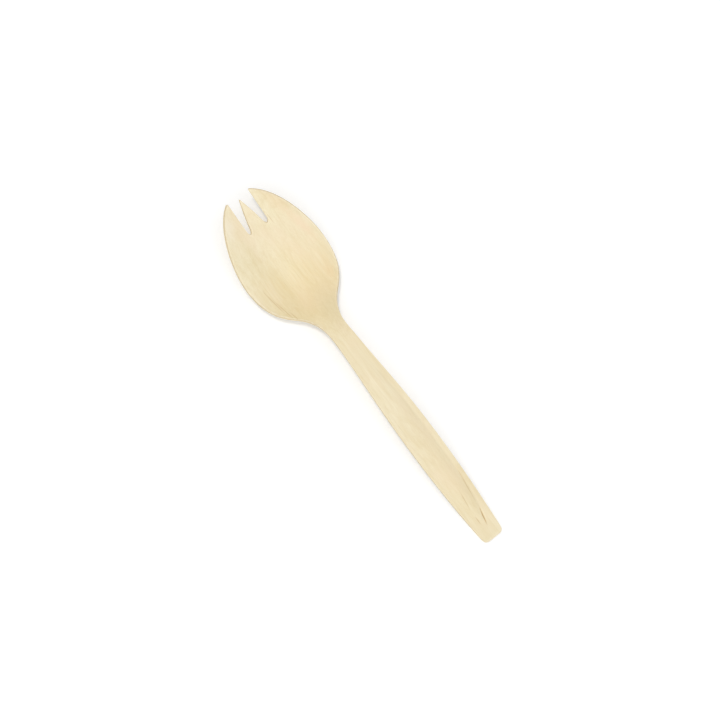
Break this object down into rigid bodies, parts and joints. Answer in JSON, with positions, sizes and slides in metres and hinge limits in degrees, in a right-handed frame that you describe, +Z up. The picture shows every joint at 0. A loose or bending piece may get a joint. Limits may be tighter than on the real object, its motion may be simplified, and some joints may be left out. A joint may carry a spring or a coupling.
{
  "type": "wooden spork",
  "caption": "Disposable spork of pressed birch veneer: a shallow oval bowl that rises into pointed tines, a narrow neck and a flat handle stiffened by a long raised bead.",
  "frame": {"origin": "on the table plane, under the middle of the overall length and width", "axes": "+X from the handle's end to the tines, +Y across to the left, +Z up through the open side of the bowl"},
  "size_m": [0.16, 0.0366, 0.0128],
  "materials": {
    "face_birch": "smooth pressed birch, uncoated, grain along the length",
    "core_birch": "birch core, seen only as a cut edge",
    "back_birch": "smooth pressed birch, uncoated, grain along the length"
  },
  "bodies": {
    "root": {"face_veneer": "face_birch", "core_veneer": "core_birch", "back_veneer": "back_birch"}
  },
  "joints": []
}
